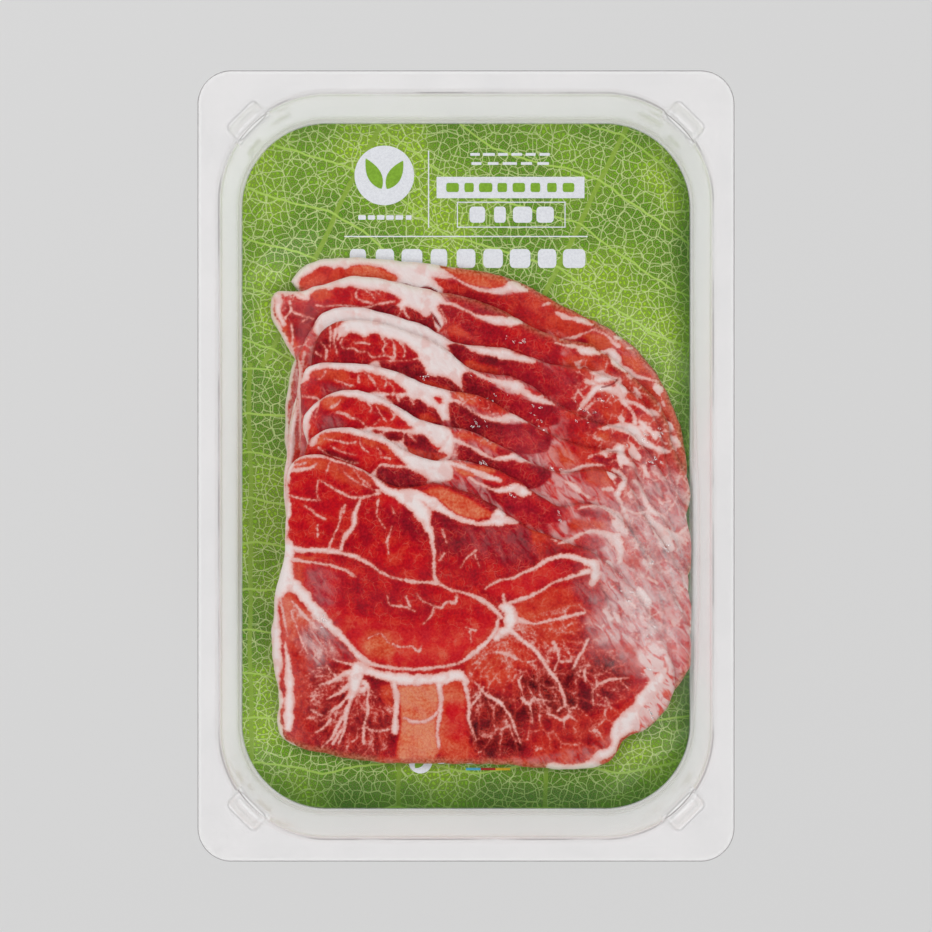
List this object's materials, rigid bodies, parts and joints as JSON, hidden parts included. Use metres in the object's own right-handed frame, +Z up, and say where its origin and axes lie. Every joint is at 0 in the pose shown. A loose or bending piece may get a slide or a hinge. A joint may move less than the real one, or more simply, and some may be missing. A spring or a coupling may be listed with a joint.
{
  "type": "pork loin pack",
  "caption": "Clear rimmed tray with thin overlapping slices of raw pork loin on a printed liner card, under tight clear film.",
  "frame": {"origin": "middle of the tray's underside", "axes": "+Z up, +Y along the pack towards the end where the bare liner shows, +X to the right seen from above"},
  "size_m": [0.15, 0.221, 0.0256],
  "materials": {
    "tray": "clear thermoformed plastic, slightly milky",
    "liner": "printed card with a leaf-vein pattern",
    "pork": "wet raw meat with pinkish white fat",
    "film": "thin clear glossy film"
  },
  "bodies": {
    "root": {"tray": "tray", "liner": "liner", "slice_1": "pork", "slice_2": "pork", "slice_3": "pork", "slice_4": "pork", "slice_5": "pork", "slice_6": "pork", "slice_7": "pork", "slice_8": "pork", "film": "film"}
  },
  "joints": []
}
